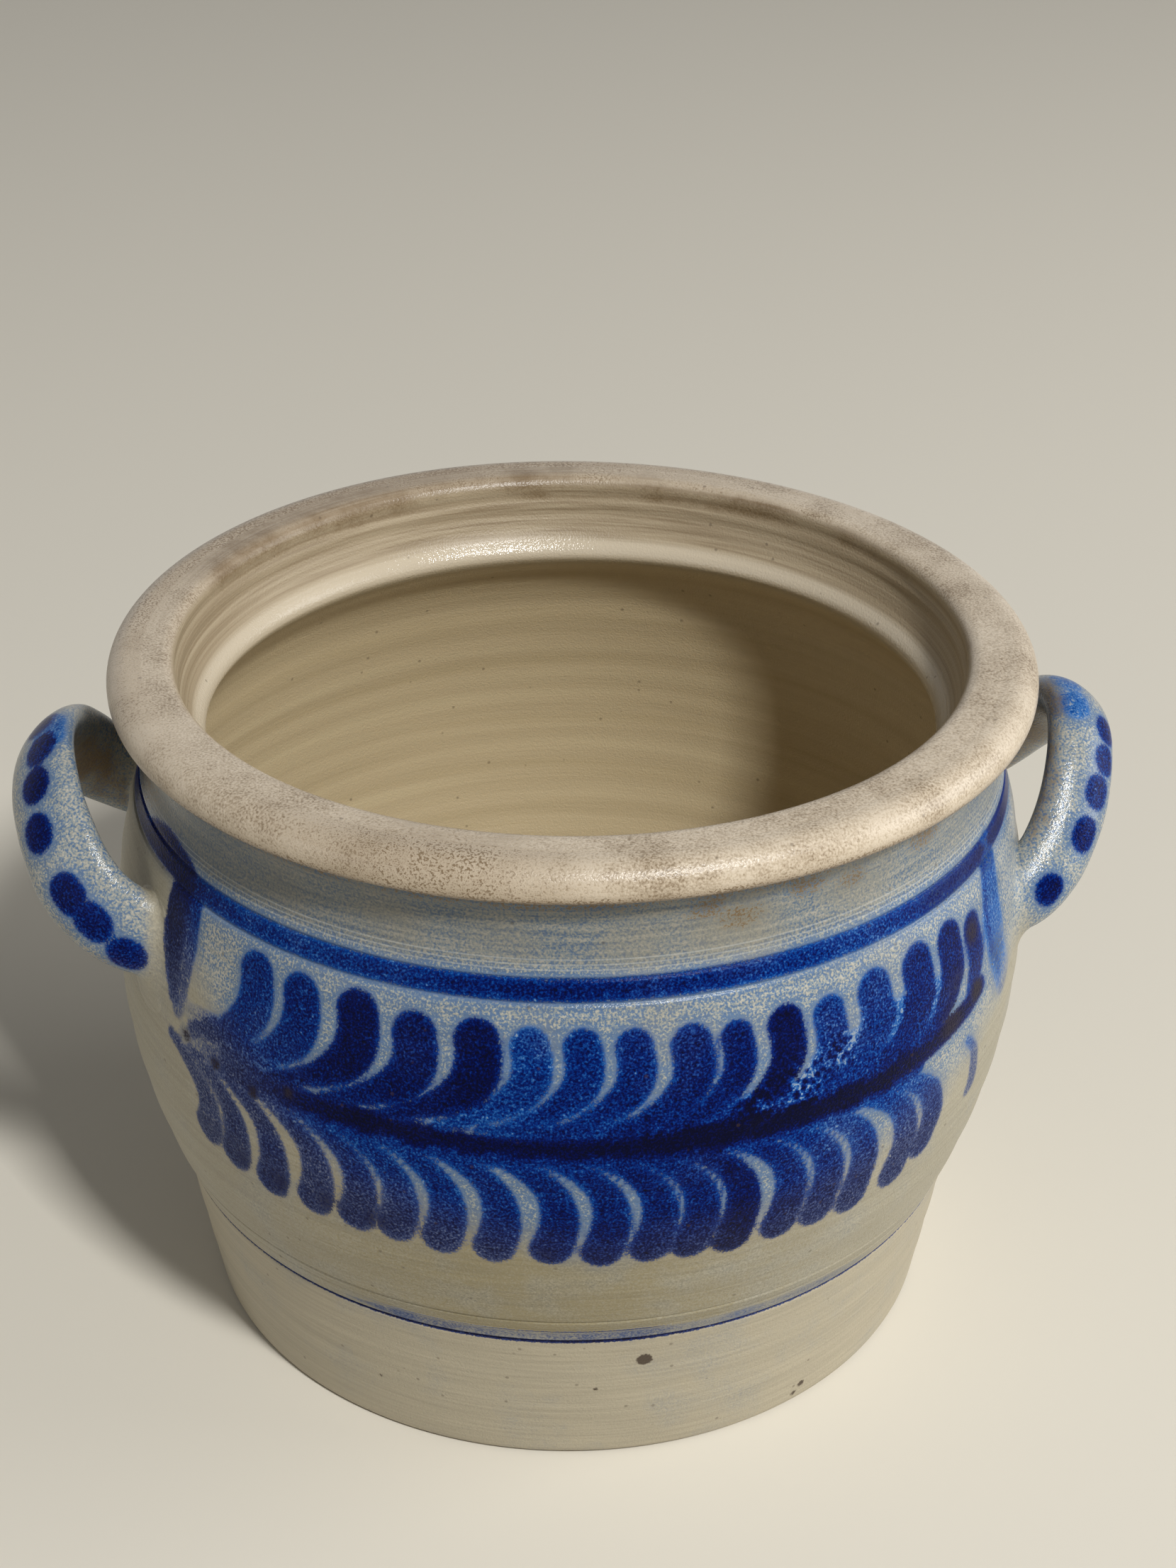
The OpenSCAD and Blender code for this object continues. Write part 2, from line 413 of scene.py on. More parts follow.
# The painted front lies a little to the left of the middle between the handles
paint_turn = 3.3
shown = len(place)
from_front = (azimuth + paint_turn + 90) % 360 - 90
on_front = abs(from_front) <= 90
side = np.where(on_front, from_front, from_front - 180)
unrolled = np.c_[side * belly_mm, height]
brush_edge = np.full(shown, -paint_reach)
cobalt_load = np.zeros(shown)
paint_bottom = 40.0
paint_top = 200.0
painted = is_outside & (height > paint_bottom) & (height < paint_top)
for half, half_jitter in ((on_front, 0.0), (~on_front, 1.0)):
    belt = painted & half
    brush_edge[belt], cobalt_load[belt] = lay_strokes(unrolled[belt], garland(half_jitter))


def lay_band(middle, half_width, band_load, crisp=1.0):
    """A painted ring round the pot, its middle and load given for each point; crisp sharpens a thin line."""
    inside = np.where(painted, crisp * (half_width - abs(height - middle)), -paint_reach)
    over = inside > np.maximum(brush_edge, 0)
    under_load = cobalt_load * (brush_edge > 0)
    cobalt_load[:] = np.where(over, np.maximum(under_load, band_load), cobalt_load)
    cobalt_load[:] = np.where(~over & (inside > brush_edge), band_load, cobalt_load)
    brush_edge[:] = np.maximum(brush_edge, inside)


# The painted band under the neck, with more cobalt along its upper edge
band_middle = 179.3
band_half = 3.3
band_dark_line = 181.9
wander = 0.4 * (0.35 * np.sin(turn * 3 + 1) + 0.2 * np.sin(turn * 7))
lay_band(band_middle + wander, band_half, 0.7 + 0.1 * np.sin(turn * 5 + 2))
lay_band(band_dark_line + wander, 0.6, 1.0)
# At the foot a thin line runs in the corner, and in front a second one above it with a pale wash between
fade = 1 - soft_step(8, 14, side)
in_front = soft_step(-40, -24, side) * (1 - soft_step(36, 50, side))
foot_line = 53.0
lay_band(foot_line + 2.6, 2.3 * in_front - 2 * (1 - in_front), 0.12 + 0.1 * fade)
lay_band(second_foot_line, 0.6 * fade * in_front - 0.4, 0.3 + 0.5 * soft_step(-16, -4, side), 4.0)
thick_line = bell(side + 5, 22) * on_front
lay_band(foot_line, 0.7 + 0.2 * thick_line, 0.8 + 0.25 * thick_line, 4.0)


def blots(spots, stretch=1.0):
    """A field with soft blots on the unrolled front: degrees, height, radius in mm, strength."""
    field = np.zeros(shown)
    for degrees, level, reach, strength in spots:
        far = np.hypot((side - degrees) * belly_mm / stretch, height - level) / reach
        field = np.maximum(field, strength * (1 - soft_step(0.1, 1.0, far)))
    return field * (is_outside & on_front)


# Salt thrown into the kiln glazed the upper front heavily and left the foot and the sides drier
def kiln_salt(degrees, level):
    """Share of salt glaze at degrees from the painted front; the flame came more from the right."""
    degrees = 90 - abs((degrees + 90) % 360 - 180)
    dry_below = 100 + np.where(degrees > 2, 0.009, 0.02) * (degrees - 2) ** 2
    return soft_step(-12, 12, level - dry_below)


neck_start = 184.0
neck_salt = 1 - 0.42 * soft_step(neck_start, neck_start + 6, height)
salt = kiln_salt(from_front, height)
salt = np.maximum(salt, soft_step(neck_start - 12, neck_start - 2, height) * neck_salt)
# Thin patches on the neck let the beige clay through
salt = salt - blots([
    (-40, 196, 13, 0.3), (-24, 193, 15, 0.4), (-12, 193, 12, 0.35), (5, 192, 13, 0.35), (17, 193, 16, 0.8),
    (34, 197, 14, 0.5), (52, 198, 13, 0.3),
], 1.6)
salt = np.where(is_outside, salt, 0.0)
# Bare clay is ochre in the middle of the front, greyer to each side, and paler on the foot
side_tone = 0.45
neck_tone = 0.35
dry_tone = side_tone - side_tone * bell(side + 6, 30) * on_front
dry_tone = np.where(height < foot_line, 0.95 - 0.1 * bell(side + 12, 30), dry_tone)
dry_tone = np.where(height > neck_start - 4, neck_tone, dry_tone)
# Where the flame caught the cobalt it burnt to purple and black
scorch = blots([
    (-53.5, 134, 4, 0.9), (-47.7, 131.5, 4, 0.9), (-41.2, 129.5, 4, 0.9), (-35.8, 135, 4, 0.8),
    (48.5, 139.5, 12, 0.7), (54.5, 142, 7, 0.9), (44, 131, 7, 0.4),
    (54.2, 161, 8, 0.75), (50, 150, 12, 0.45), (61, 146, 14, 0.45),
    (-44, 101, 8, 0.4), (-38, 100, 9, 0.45), (-31, 100, 9, 0.5), (-25, 99, 8, 0.5), (-5, 96, 6, 0.35),
])
scorched_band = 179.5
band_scorch = soft_step(40, 48, side) * (1 - soft_step(4, 12, abs(height - scorched_band))) * on_front
scorch = np.maximum(scorch, 0.4 * band_scorch * is_outside)
# Right of the dark eleventh leaf the salt beaded the blue
beads = blots([(19, 141, 11, 1.0), (24.5, 144, 12, 1.0), (29, 149, 11, 0.9)])
# Rust on the neck and by the left root, painted shade with dirt under the lip, a browner lip at the back,
# dirt inside its corner
neck_rust = blots([
    (13, 200, 5, 0.7), (18, 196, 6, 0.75), (27, 201, 6, 0.75), (33, 198, 5, 0.7), (46, 200, 7, 0.6),
], 1.8)
root_rust = blots([(-75, 192, 20, 0.8)])
# Painted shade, with some dirt, darkens the lip's lower face and the neck just under it
under_lip_shade_and_dirt = np.maximum(0.8 * bell(height - 209, 2.4), 0.55 * bell(height - 206, 3.2))
# The lip is browner toward the back-left and in a small patch at the front-left
lip_browning = bell(azimuth % 360 - 205, 55) + 0.5 * bell(azimuth + 22, 14)
corner_dirt = bell(below_corner - 2.2, 1.8) * (0.4 + 0.15 * np.sin(turn * 2 + 2.5))
back_dirt = bell(below_corner + 2, 2.5) * (0.35 + 0.3 * bell(azimuth % 360 - 195, 60))
stain_and_shade = np.maximum.reduce([
    neck_rust, root_rust, under_lip_shade_and_dirt * is_outside, 0.8 * is_lip * lip_browning,
    corner_dirt * ~is_outside, back_dirt * ~is_outside,
])
# Kiln smoke and painted shade grey the neck; the painted shade of the lip's shadow is most at the left
from_left = (azimuth + paint_turn + 70 + 180) % 360 - 180
neck_smoke_and_shade = soft_step(neck_start - 1, neck_start + 3, height) * is_outside * (0.34 + 0.3 * bell(from_left, 50))
# The neck was turned smooth, so its net of blue and beige is drawn out to level lines
calm = 0.28 * soft_step(neck_start, neck_start + 4, height)
# Salt makes the clay smoother, and the glaze on the ledge is smoothest
dry_rough = 0.5
inner_rough = 0.46
lip_rough = 0.3
ledge_rough = 0.13
rough = np.where(is_outside, dry_rough - 0.25 * salt, inner_rough)
rough = rough + (lip_rough - rough) * is_lip
rough = rough + (ledge_rough - rough) * is_ledge
crock_looks = {
    "brush_edge": brush_edge, "cobalt_load": cobalt_load, "salt": salt, "dry_tone": dry_tone, "lip": is_lip,
    "mouth": is_mouth, "ledge": is_ledge, "inner": is_inner, "stain_and_shade": stain_and_shade, "scorch": scorch, "beads": beads,
    "neck_smoke_and_shade": neck_smoke_and_shade, "calm": calm, "rough": rough,
}
# What is not 0 at the middle of the base and at the middle of the floor
middles = {
    "brush_edge": (-paint_reach, -paint_reach), "dry_tone": (0.9, 0), "inner": (0, 1),
    "rough": (dry_rough, inner_rough),
}
crock_looks = {name: np.r_[values, middles.get(name, (0, 0))] for name, values in crock_looks.items()}


def linear(code):
    """Linear RGBA of an sRGB hex colour."""
    parts = [int(code[i:i + 2], 16) / 255 for i in (1, 3, 5)]
    return tuple(c / 12.92 if c <= 0.04045 else ((c + 0.055) / 1.055) ** 2.4 for c in parts) + (1.0,)


def add_node(graph, kind, inputs=None, stops=None, **settings):
    """Adds a node with its own settings, its inputs' values or links, and a ramp's colour stops."""
    made = graph.nodes.new("ShaderNode" + kind)
    for name, value in settings.items():
        setattr(made, name, value)
    for socket, value in (inputs or {}).items():
        if isinstance(value, bpy.types.NodeSocket):
            graph.links.new(value, made.inputs[socket])
        else:
            made.inputs[socket].default_value = value
    if stops:
        ramp = made.color_ramp.elements
        ramp[0].position = stops[0][0]
        ramp[-1].position = stops[-1][0]
        for position, _ in stops[1:-1]:
            ramp.new(position)
        for element, (_, code) in zip(ramp, stops):
            element.color = linear(code)
    return made


# Salt-glazed stoneware: salt vapour makes a thin clear glass with an orange-peel skin over grey clay
# The eye sees a net of blue grey and beige under 1 mm across, and cobalt that sinks in with soft edges
stoneware = bpy.data.materials.new("salt_glazed_stoneware_with_cobalt")
stoneware.use_nodes = True
tree = stoneware.node_tree
tree.nodes.clear()
spot = add_node(tree, "TexCoord").outputs["Object"]
# Sizes of the patterns in mm: peel, clouds, wheel marks, grooves, iron specks, salt grains and beads
peel_mm = 0.7
cloud_mm = 22.0
wheel_mm = 1.0
groove_mm = 7.0
speck_mm = 9.0
frost_mm = 3.6
bead_mm = 1.7
peel = add_node(
    tree, "TexNoise", {"Vector": spot, "Scale": 1 / (peel_mm * MM), "Detail": 2.0},
).outputs["Fac"]
cloud = add_node(
    tree, "TexNoise", {"Vector": spot, "Scale": 1 / (cloud_mm * MM), "Detail": 5.0, "Roughness": 0.6},
).outputs["Fac"]
# Wheel marks run round the pot: noise by distance from the axis and height, drifting slowly round it
spot_axes = add_node(tree, "SeparateXYZ", {"Vector": spot}).outputs
level_spot = add_node(tree, "VectorMath", {0: spot, 1: (1, 1, 0)}, operation="MULTIPLY").outputs["Vector"]
from_axis = add_node(tree, "VectorMath", {0: level_spot}, operation="LENGTH").outputs["Value"]
drift = add_node(tree, "Math", {0: spot_axes["X"], 1: 0.03}, operation="MULTIPLY").outputs[0]
turned_spot = add_node(
    tree, "CombineXYZ", {"X": from_axis, "Y": drift, "Z": spot_axes["Z"]},
).outputs["Vector"]
wheel = add_node(
    tree, "TexNoise", {"Vector": turned_spot, "Scale": 1 / (wheel_mm * MM), "Detail": 3.0},
).outputs["Fac"]
look = {name: add_node(tree, "Attribute", attribute_name=name).outputs["Fac"] for name in crock_looks}

salt_edge = add_node(tree, "Math", {0: cloud, 1: 1.2, 2: -0.6}, operation="MULTIPLY_ADD").outputs[0]
salt_here = add_node(
    tree, "Math", {0: look["salt"], 1: salt_edge}, operation="ADD", use_clamp=True,
).outputs[0]

# Cobalt fumes turn more of the net blue for a few millimetres round each stroke
fume = add_node(
    tree, "MapRange", {"Value": look["brush_edge"], "From Min": -4.5, "From Max": -0.2, "To Max": 0.14},
).outputs["Result"]
net = add_node(tree, "Mix", {0: look["calm"], 2: peel, 3: wheel}).outputs[0]
net = add_node(tree, "Math", {0: net, 1: fume}, operation="SUBTRACT").outputs[0]
glossy_clay = add_node(
    tree, "ValToRGB", {"Fac": net},
    [(0.38, "#526a89"), (0.44, "#6f7e8c"), (0.5, "#868d8b"), (0.56, "#98978f"), (0.62, "#a8a499")],
).outputs["Color"]
speckle = add_node(tree, "Math", {0: peel, 1: 0.5}, operation="SUBTRACT").outputs[0]
tone = add_node(tree, "Math", {0: cloud, 1: 0.3, 2: look["dry_tone"]}, operation="MULTIPLY_ADD").outputs[0]
tone = add_node(tree, "Math", {0: speckle, 1: 0.9, 2: tone}, operation="MULTIPLY_ADD").outputs[0]
dry_clay = add_node(
    tree, "ValToRGB", {"Fac": tone},
    [(0.1, "#877d60"), (0.55, "#97917f"), (0.95, "#a59c87")],
).outputs["Color"]
clay = add_node(tree, "Mix", {0: salt_here, 6: dry_clay, 7: glossy_clay}, data_type="RGBA").outputs[2]

ragged = add_node(
    tree, "Math", {0: peel, 1: 3.4, 2: look["brush_edge"]}, operation="MULTIPLY_ADD",
).outputs[0]
brushed = add_node(
    tree, "MapRange", {"Value": ragged, "From Min": 1.1, "From Max": 2.3}, interpolation_type="SMOOTHSTEP",
).outputs["Result"]
grain = add_node(tree, "Math", {0: 1.6, 1: look["cobalt_load"]}, operation="SUBTRACT").outputs[0]
grain = add_node(tree, "Math", {0: grain, 1: look["cobalt_load"]}, operation="MULTIPLY").outputs[0]
fleck = add_node(tree, "Math", {0: speckle, 1: grain}, operation="MULTIPLY").outputs[0]
thickness = add_node(
    tree, "Math", {0: fleck, 1: -3.0, 2: look["cobalt_load"]}, operation="MULTIPLY_ADD",
).outputs[0]
# The brush left the blue uneven
uneven = add_node(tree, "Math", {0: cloud, 1: 0.5}, operation="SUBTRACT").outputs[0]
thickness = add_node(tree, "Math", {0: uneven, 1: 0.5, 2: thickness}, operation="MULTIPLY_ADD").outputs[0]
# A stroke is thinnest and brightest along its edge
rim = add_node(
    tree, "MapRange", {"Value": look["brush_edge"], "From Max": 2.6, "To Min": 0.68, "To Max": 1.0},
).outputs["Result"]
thickness = add_node(tree, "Math", {0: thickness, 1: rim}, operation="MULTIPLY").outputs[0]
# Grains of salt left pale specks in the blue
frost = add_node(tree, "TexVoronoi", {"Vector": spot, "Scale": 1 / (frost_mm * MM)}).outputs["Distance"]
frost = add_node(
    tree, "MapRange", {"Value": frost, "From Min": 0.22, "From Max": 0.05, "To Max": -0.22},
).outputs["Result"]
thickness = add_node(tree, "Math", {0: thickness, 1: frost}, operation="ADD").outputs[0]
bead = add_node(
    tree, "TexVoronoi", {"Vector": spot, "Scale": 1 / (bead_mm * MM)}, feature="SMOOTH_F1",
).outputs["Distance"]
bead = add_node(
    tree, "MapRange", {"Value": bead, "From Min": 0.25, "From Max": 0.6, "To Min": 0.5, "To Max": -0.4},
).outputs["Result"]
thickness = add_node(
    tree, "Math", {0: bead, 1: look["beads"], 2: thickness}, operation="MULTIPLY_ADD",
).outputs[0]
ramp_reach = 1.4
thickness = add_node(tree, "Math", {0: thickness, 1: ramp_reach}, operation="DIVIDE").outputs[0]
bright_cobalt = add_node(
    tree, "ValToRGB", {"Fac": thickness},
    [
        (0.03, "#8290a0"), (0.14, "#33659f"), (0.29, "#053c82"),
        (0.45, "#011f66"), (0.63, "#000a44"), (0.88, "#030520"),
    ],
).outputs["Color"]
dull_cobalt = add_node(
    tree, "ValToRGB", {"Fac": thickness},
    [(0.03, "#8f8d85"), (0.2, "#575f7a"), (0.38, "#2e3960"), (0.58, "#191e42"), (0.88, "#15121a")],
).outputs["Color"]
cobalt = add_node(tree, "Mix", {0: salt_here, 6: dull_cobalt, 7: bright_cobalt}, data_type="RGBA").outputs[2]
burnt = add_node(tree, "Math", {0: peel, 1: 1.6, 2: -0.8}, operation="MULTIPLY_ADD").outputs[0]
burnt = add_node(tree, "Math", {0: look["scorch"], 1: burnt}, operation="ADD").outputs[0]
burnt = add_node(
    tree, "MapRange", {"Value": burnt, "From Min": 0.2, "From Max": 0.9}, interpolation_type="SMOOTHSTEP",
).outputs["Result"]
cobalt = add_node(tree, "Mix", {0: burnt, 6: cobalt, 7: linear("#241f2c")}, data_type="RGBA").outputs[2]
# The neck is greyed here by kiln smoke and by painted shade from the lip
clay = add_node(tree, "Mix", {0: look["neck_smoke_and_shade"], 6: clay, 7: linear("#3b3d3c")}, data_type="RGBA").outputs[2]
# Glaze gathered pale in the fine lines scored just above the painted band
scored_gap = 0.7
scored_middle = 186.4
scored_half = 2.3
scored = add_node(
    tree, "Math", {0: spot_axes["Z"], 1: scored_gap * MM}, operation="PINGPONG",
).outputs[0]
scored = add_node(
    tree, "MapRange", {"Value": scored, "From Min": 0.3 * MM, "From Max": 0.1 * MM, "To Max": 0.3},
).outputs["Result"]
above_band = add_node(
    tree, "Math", {0: spot_axes["Z"], 1: scored_middle * MM, 2: scored_half * MM}, operation="COMPARE",
).outputs[0]
on_neck = add_node(
    tree, "MapRange", {"Value": look["neck_smoke_and_shade"], "From Min": 0.01, "From Max": 0.05},
).outputs["Result"]
for mask in (above_band, on_neck):
    scored = add_node(tree, "Math", {0: scored, 1: mask}, operation="MULTIPLY").outputs[0]
clay = add_node(tree, "Mix", {0: scored, 6: clay, 7: linear("#b4b6b2")}, data_type="RGBA").outputs[2]
colour = add_node(tree, "Mix", {0: brushed, 6: clay, 7: cobalt}, data_type="RGBA").outputs[2]

lip_tone = add_node(tree, "Math", {0: cloud, 1: 1.1, 2: -0.05}, operation="MULTIPLY_ADD").outputs[0]
lip_tone = add_node(tree, "Math", {0: speckle, 1: 1.25, 2: lip_tone}, operation="MULTIPLY_ADD").outputs[0]
lip_clay = add_node(
    tree, "ValToRGB", {"Fac": lip_tone},
    [(0.2, "#85745d"), (0.34, "#a3937d"), (0.54, "#b8a993"), (0.72, "#c6b8a3")],
).outputs["Color"]
mouth_clay = add_node(
    tree, "ValToRGB", {"Fac": wheel},
    [(0.3, "#8a795f"), (0.5, "#9b8b71"), (0.7, "#a7987e")],
).outputs["Color"]
grooves = add_node(
    tree, "TexNoise", {"Vector": turned_spot, "Scale": 1 / (groove_mm * MM), "Detail": 4.0, "Roughness": 0.6},
).outputs["Fac"]
inner_clay = add_node(
    tree, "ValToRGB", {"Fac": grooves},
    [(0.3, "#b09f7c"), (0.5, "#b8a785"), (0.7, "#beae8b")],
).outputs["Color"]
# The ledge's pale colour is partly its pooled glaze and partly a painted highlight
ledge_clay_and_highlight = linear("#c0b39c")
zones = {"lip": lip_clay, "mouth": mouth_clay, "ledge": ledge_clay_and_highlight, "inner": inner_clay}
for zone, zone_clay in zones.items():
    colour = add_node(tree, "Mix", {0: look[zone], 6: colour, 7: zone_clay}, data_type="RGBA").outputs[2]

# Rust gathers in clouds and along wheel marks, and on the neck it is finely specked; the same brown carries
# the dirt, the browner lip and the painted shade under the lip and on the straps' inner faces
neck_grain = add_node(tree, "Math", {0: speckle, 1: look["neck_smoke_and_shade"]}, operation="MULTIPLY").outputs[0]
rust_dirt_and_shade = look["stain_and_shade"]
for pattern, part in ((cloud, 2.0), (peel, 0.7), (wheel, 0.6), (neck_grain, 9.0)):
    rust_dirt_and_shade = add_node(tree, "Math", {0: pattern, 1: part, 2: rust_dirt_and_shade}, operation="MULTIPLY_ADD").outputs[0]
rust_dirt_and_shade = add_node(
    tree, "MapRange", {"Value": rust_dirt_and_shade, "From Min": 1.85, "From Max": 2.75, "To Max": 0.85},
    interpolation_type="SMOOTHSTEP",
).outputs["Result"]
stain_and_shade_gate = add_node(
    tree, "MapRange", {"Value": look["stain_and_shade"], "From Min": 0.02, "From Max": 0.3},
).outputs["Result"]
rust_dirt_and_shade = add_node(tree, "Math", {0: rust_dirt_and_shade, 1: stain_and_shade_gate}, operation="MULTIPLY").outputs[0]
colour = add_node(tree, "Mix", {0: rust_dirt_and_shade, 6: colour, 7: linear("#644d2c")}, data_type="RGBA").outputs[2]
# The turning tool left fine level lines in every colour
streak = add_node(
    tree, "MapRange", {"Value": wheel, "From Min": 0.3, "From Max": 0.7, "To Min": 0.9, "To Max": 1.09},
).outputs["Result"]
lined = add_node(tree, "Math", {0: look["inner"], 1: look["lip"]}, operation="ADD").outputs[0]
lined = add_node(tree, "Math", {0: lined, 1: look["mouth"]}, operation="ADD", use_clamp=True).outputs[0]
lined = add_node(tree, "MapRange", {"Value": lined, "To Min": 1.0, "To Max": 0.2}).outputs["Result"]
colour = add_node(
    tree, "Mix", {0: lined, 6: colour, 7: streak}, data_type="RGBA", blend_type="MULTIPLY",
).outputs[2]
# Grains of iron in the clay melted into dark specks, and a few larger ones ran
iron = add_node(tree, "TexVoronoi", {"Vector": spot, "Scale": 1 / (speck_mm * MM)}).outputs["Distance"]
iron = add_node(
    tree, "MapRange", {"Value": iron, "From Min": 0.08, "From Max": 0.04, "To Max": 0.45},
).outputs["Result"]
# Iron spots on the foot: degrees on the painted front, height and radius in mm
iron_spots = [(8.0, 42.5, 2.5), (34.6, 7.5, 1.3), (33.4, 4.4, 1.0), (1.5, 30.5, 0.7), (-30, 22, 0.6)]
for degrees, level, radius_mm in iron_spots:
    spot_turn = math.radians(degrees - paint_turn)
    spot_radius = float(outer_radius(level))
    middle = (spot_radius * math.sin(spot_turn) * MM, -spot_radius * math.cos(spot_turn) * MM, level * MM)
    away = add_node(tree, "VectorMath", {0: spot, 1: middle}, operation="DISTANCE").outputs["Value"]
    away = add_node(tree, "Math", {0: peel, 1: 1.6 * MM, 2: away}, operation="MULTIPLY_ADD").outputs[0]
    drop = add_node(
        tree, "MapRange",
        {
            "Value": away, "From Min": (radius_mm + 1.1) * MM, "From Max": (radius_mm + 0.5) * MM,
            "To Max": 0.95,
        },
    ).outputs["Result"]
    iron = add_node(tree, "Math", {0: iron, 1: drop}, operation="MAXIMUM").outputs[0]
colour = add_node(tree, "Mix", {0: iron, 6: colour, 7: linear("#3d2f22")}, data_type="RGBA").outputs[2]

skin_depth = 0.35
skin_height = add_node(tree, "Math", {0: wheel, 1: 0.35, 2: peel}, operation="MULTIPLY_ADD").outputs[0]
skin = add_node(
    tree, "Bump", {"Height": skin_height, "Strength": 0.5, "Distance": skin_depth * MM},
).outputs["Normal"]
# Thick cobalt dried the glass a little, so it mirrors less than the clear glaze
shine = add_node(tree, "MapRange", {"Value": brushed, "To Min": 0.36, "To Max": 0.05}).outputs["Result"]
surface = add_node(
    tree, "BsdfPrincipled",
    {"Base Color": colour, "Roughness": look["rough"], "Specular IOR Level": shine, "Normal": skin},
).outputs["BSDF"]
add_node(tree, "OutputMaterial", {"Surface": surface})


def make_piece(name, points, faces, looks):
    """A smooth mesh piece from points in mm, with one float attribute for each look."""
    mesh = bpy.data.meshes.new(name)
    mesh.from_pydata((points * MM).tolist(), [], faces)
    mesh.shade_smooth()
    for look_name, values in looks.items():
        layer = mesh.attributes.new(look_name, "FLOAT", "POINT")
        layer.data.foreach_set("value", np.ascontiguousarray(values, np.float32))
    mesh.materials.append(stoneware)
    piece = bpy.data.objects.new(name, mesh)
    bpy.context.scene.collection.objects.link(piece)
    return piece


crock = make_piece("crock_pot", pot_points, pot_faces, crock_looks)
crock_map = crock.data.uv_layers.new(name="OFBake")
crock_map.data.foreach_set("uv", np.concatenate(pot_map).ravel())
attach(crock, "root")
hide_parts("crock_body")

# Strap handles
# Two straps of the same clay, pulled by hand, bent into upright loops and thumbed onto the belly.
# Each root is smeared out onto the wall, longest downward, before the glaze goes over all of it.

handle_embed = 14.0
back_root_y = 47.0
strap_sides = 48
strap_rows = 120
smear_rows = 8
bow_steps = 721
# The straps' unevenness in mm comes from seeded noise, so it is the same each time
unevenness = 0.3
uneven_pitch = 14.0
noise.seed_set(4)
# A root in mm: where it leaves the strap, how far it is smeared, and its skirt hidden in the wall
lift_above = 1.0
lift = 5.0
smear_above = 0.6
run_down = 5.0
landed_out = 0.05
skirt = 6.0
skirt_depth = 0.4
tuck_reach = 0.3
dab_discs = 5
# Hand work made the two straps differ: roots as (y, z), the loop's reach and top, its section and its bends
left_form = {
    "front": (-54.0, 150.0), "back_z": 145.0, "apex": 159.0, "top": 188.0, "width": 27.0, "thick": 11.5,
    "lean": 41.0, "thick_flare": 0.3, "wide_flare": 0.0, "up_power": 1.6, "out_power": 0.56,
    "smear": 5.0, "tuck": 2.5, "tuck_at": 0.15, "dab": 5.8,
}
right_form = {
    "front": (-49.0, 147.0), "back_z": 142.0, "apex": 160.0, "top": 185.0, "width": 24.5, "thick": 14.0,
    "lean": 51.0, "thick_flare": 0.15, "wide_flare": -0.15, "up_power": 2.45, "out_power": 0.8,
    "smear": 6.0, "tuck": -1.5, "tuck_at": 0.2, "dab": 5.0,
}
# Cobalt dabs down the outside: share of the way from the front root, angle, half length in mm, load
left_dabs = [
    (0.02, -24, 6.5, 0.8), (0.098, -9, 7.0, 0.85), (0.165, -5, 7.0, 0.9), (0.292, -8, 6.5, 0.9),
    (0.383, 6, 6.5, 0.95), (0.462, 20, 5.2, 0.85), (0.52, 38, 7.0, 0.25),
]
right_dabs = [
    (0.055, -4, 5.5, 0.9), (0.2, -15, 6.0, 0.85), (0.283, -15, 6.0, 0.8), (0.35, -20, 5.5, 0.75),
    (0.417, -22, 5.5, 0.75), (0.458, 38, 7.0, 0.22),
]
# Brown kiln dirt on the faces that the glaze reached least, and painted shade on the inner face at 180
# degrees: angle round the strap, its reach, strength
left_grime_and_shade = [(300, 40, 0.45), (180, 60, 0.9)]
right_grime_and_shade = [(95, 45, 0.75), (180, 60, 0.9)]


def wall_gap(points, side_x):
    """How far points of a strap drawn on +X lie outside the wall on its own side, in mm."""
    x = points[..., 0] - side_x * lean_at(points[..., 2])
    turned = np.arctan2(side_x * x, -points[..., 1])
    return np.hypot(x, points[..., 1]) - outer_radius(points[..., 2]) - swell_at(turned, points[..., 2])


def unit(vectors):
    """Vectors in the last axis, each made 1 long."""
    return vectors / np.linalg.norm(vectors, axis=-1, keepdims=True)


def to_wall(points, out, side_x):
    """Points moved straight out from the axis to lie this far outside the pot's wall."""
    radial = unit(points * (1, 1, 0))
    return points - radial * (wall_gap(points, side_x) - out)[:, None]


def strap_rails(form, bow):
    """The lines that run along a strap on +X, as [step of the bow, place round the strap, axis]."""
    front_y, front_z = form["front"]
    rise = np.clip(np.sin(bow), 0, 1)
    share = (1 - np.cos(bow)) / 2
    root_z = front_z + (form["back_z"] - front_z) * share
    root_y = front_y + (back_root_y - front_y) * share
    ends_x = [
        math.sqrt(outer_radius(z) ** 2 - y ** 2) - handle_embed
        for y, z in (form["front"], (back_root_y, form["back_z"]))
    ]
    root_x = ends_x[0] + (ends_x[1] - ends_x[0]) * share
    middle = np.c_[
        root_x + (form["apex"] - root_x) * rise ** form["out_power"],
        root_y,
        root_z + (form["top"] - root_z) * rise ** form["up_power"],
    ]
    bend = bell(bow - form["tuck_at"], tuck_reach) + bell(np.pi - bow - form["tuck_at"], tuck_reach)
    middle += form["tuck"] * bend[:, None] * unit(np.array((-1.0, 0.0, 1.0)))
    ahead = unit(np.gradient(middle, axis=0))
    lean = math.radians(form["lean"])
    thick = unit(np.cross(ahead, (-math.sin(lean), 0, math.cos(lean))))
    wide = np.cross(thick, ahead)
    near_root = ((1 - rise) ** 2)[:, None, None]
    around = np.arange(strap_sides)[None, :, None] * 2 * np.pi / strap_sides
    half_thick = form["thick"] / 2 * (1 + form["thick_flare"] * near_root) * np.cos(around)
    half_wide = form["width"] / 2 * (1 + form["wide_flare"] * near_root) * np.sin(around)
    return middle[:, None] + thick[:, None] * half_thick + wide[:, None] * half_wide


def on_rails(rails, bow, at):
    """One point on each rail, at its own place along the bow."""
    return np.array([
        [np.interp(at[k], bow, rails[:, k, axis]) for axis in range(3)] for k in range(strap_sides)
    ])


